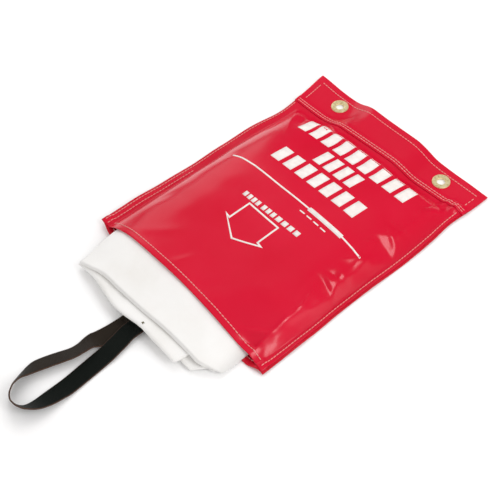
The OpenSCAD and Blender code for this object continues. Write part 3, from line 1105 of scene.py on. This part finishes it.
def smooth_through(values, steps):
    """Catmull-Rom through the rows of values, with steps places in each gap."""
    padded = np.vstack([2 * values[0] - values[1], values, 2 * values[-1] - values[-2]])
    made = []
    for i in range(1, len(padded) - 2):
        p0, p1, p2, p3 = padded[i - 1:i + 3]
        for k in range(steps):
            t = k / steps
            square = (2 * p0 - 5 * p1 + 4 * p2 - p3) * t ** 2
            cube = (3 * p1 - p0 - 3 * p2 + p3) * t ** 3
            made.append(0.5 * (2 * p1 + (p2 - p0) * t + square + cube))
    made.append(values[-1])
    return np.array(made)


def strap_section():
    """Cross-section of the webbing: place across (-0.5 to 0.5) and place through (-0.5 to 0.5)."""
    rounded = [(-0.5, 0), (-0.488, 0.3), (-0.46, 0.46)]
    top = [(u, 0.5) for u in np.linspace(-0.42, 0.42, 9)]
    upper = rounded + top + [(-u, v) for u, v in rounded[::-1]]
    lower = [(u, -v) for u, v in upper[1:-1]][::-1]
    return upper + lower


def build_strap():
    stations = smooth_through(strap_stations(), 5)
    edges, widths = stations[:, :3], stations[:, 3:]
    widths = widths / np.linalg.norm(widths, axis=1, keepdims=True)
    centres = edges + widths * STRAP_W / 2
    travel = np.gradient(centres, axis=0)
    thick = np.cross(travel, widths)
    thick = thick / np.linalg.norm(thick, axis=1, keepdims=True)
    steps = np.linalg.norm(np.diff(centres, axis=0), axis=1)
    along = np.concatenate([[0], np.cumsum(steps)])
    section = strap_section()
    points, uvs = [], []
    for c, w, n, s in zip(centres, widths, thick, along):
        for u, v in section:
            points.append(c + w * u * STRAP_W + n * v * STRAP_T)
            uvs.append((u * STRAP_W * MM, s * MM))
    faces = tube_faces(len(centres), len(section), 0)
    piece = make_mesh("pull_loop", points, faces, WEBBING, uvs)
    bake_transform(piece)
    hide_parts("pull_strap", "strap_tails")


# Along one bar of a knot: place from -1 to 1, share of the thread's radius, and rise
KNOT_RINGS = [(-1, 0.3, -0.2), (-0.6, 1, 0.15), (0, 1.1, 0.3), (0.6, 1, 0.15), (1, 0.3, -0.2)]
KNOT_SIZE = 1.6


def add_knot(points, faces, centre, size):
    """A small cross of thread."""
    up = np.array([0, 0, 1.0])
    for heading in (35, 125):
        h = math.radians(heading)
        ahead = np.array([math.cos(h), math.sin(h), 0])
        side = np.array([-math.sin(h), math.cos(h), 0])
        base = len(points)
        for share, scale, rise in KNOT_RINGS:
            for a in range(THREAD_SIDES):
                t = 2 * math.pi * a / THREAD_SIDES
                ring = side * math.cos(t) + up * math.sin(t) * 0.8
                points.append(centre + ahead * share * size + up * rise + ring * scale * size * 0.32)
        faces += tube_faces(len(KNOT_RINGS), THREAD_SIDES, base)


def build_tacks():
    points, faces = [], []
    for x, in_from_front in ((12, 4.5), (66, 17.0)):
        xs = np.array([x])
        ds = second_front(xs) + in_from_front
        low = stack_floor(xs, ds)[0]
        top = stack_top(xs, ds)[0]
        z = low + 0.8 * (top - low) + 0.3
        add_knot(points, faces, np.array([x, MOUTH_Y + ds[0], z]), KNOT_SIZE)
    piece = make_mesh("tack_knots", points, faces, OLIVE)
    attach(piece, "blanket")
    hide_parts("strap_tack_stitch")


# ---- stage

FLOOR_HALF = 6000
FLOOR_Z = -0.4
LIGHT_AIM = (0, 40, 15)
WORLD_STRENGTH = 0.82
# The camera looks at a place on the floor, from a direction in degrees and a distance
CAMERA_AIM = (5.9, 30.7, 0)
CAMERA_AZIMUTH = 50.4
CAMERA_ELEVATION = 52.5
CAMERA_ROLL = -2.6
CAMERA_DISTANCE = 1134
CAMERA_LENS = 78.55


def build_floor():
    material, tree, shader = new_material("studio_floor")
    mottle = noise_texture(tree, coordinates(tree), 3, 2)
    colour = ramp(tree, mottle, [(0.3, (0.97, 0.97, 0.97)), (0.7, (0.985, 0.985, 0.985))])
    tree.links.new(colour, shader.inputs["Base Color"])
    shader.inputs["Roughness"].default_value = 0.9
    shader.inputs["Specular IOR Level"].default_value = 0.1
    corners = [(x * FLOOR_HALF, y * FLOOR_HALF, FLOOR_Z) for x, y in ((-1, -1), (1, -1), (1, 1), (-1, 1))]
    floor = make_mesh("floor", corners, [(0, 1, 2, 3)], material)


def area_light(name, direction, distance, size, power, glossy=True):
    """A soft box that shines on the pouch from a direction; glossy if reflections show it."""
    light = bpy.data.lights.new(name, "AREA")
    light.shape = "RECTANGLE"
    light.size, light.size_y = size[0] * MM, size[1] * MM
    light.energy = power
    o = bpy.data.objects.new(name, light)
    back = Vector(direction).normalized()
    o.location = Vector(LIGHT_AIM) * MM + back * distance * MM
    o.rotation_mode = "QUATERNION"
    o.rotation_quaternion = back.to_track_quat("Z", "Y")
    o.visible_glossy = glossy
    bpy.context.scene.collection.objects.link(o)


def build_lights():
    world = bpy.data.worlds.new("studio")
    world.use_nodes = True
    background = next(n for n in world.node_tree.nodes if n.type == "BACKGROUND")
    background.inputs["Color"].default_value = (1.0, 0.985, 0.98, 1)
    background.inputs["Strength"].default_value = WORLD_STRENGTH
    world.cycles_visibility.glossy = False
    bpy.context.scene.world = world
    area_light("key", (-0.45, 0.55, 0.95), 2200, (1500, 1500), 10, glossy=False)
    area_light("left_box", (-0.80, 0.40, 0.42), 1500, (700, 900), 1.9)
    area_light("right_box", (0.74, 0.16, 0.60), 1500, (400, 1100), 6.8)


def build_camera():
    camera = bpy.data.cameras.new("camera")
    camera.lens = CAMERA_LENS
    camera.sensor_width = 36
    camera.clip_start = 0.05
    camera.clip_end = 50
    o = bpy.data.objects.new("camera", camera)
    azimuth, elevation = math.radians(CAMERA_AZIMUTH), math.radians(CAMERA_ELEVATION)
    level = math.cos(elevation)
    back = Vector((math.sin(azimuth) * level, -math.cos(azimuth) * level, math.sin(elevation)))
    o.location = Vector(CAMERA_AIM) * MM + back * (CAMERA_DISTANCE * MM)
    o.rotation_mode = "QUATERNION"
    roll = Matrix.Rotation(math.radians(CAMERA_ROLL), 3, "Z").to_quaternion()
    o.rotation_quaternion = (-back).to_track_quat("-Z", "Y") @ roll
    bpy.context.scene.collection.objects.link(o)
    bpy.context.scene.camera = o


build_camera()
build_lights()
build_floor()
build_front()
build_back()
build_facing()
build_stitches()
finish_grommets()
build_print()
build_blanket()
build_strap()
build_tacks()
bpy.context.scene.view_settings.view_transform = "Standard"
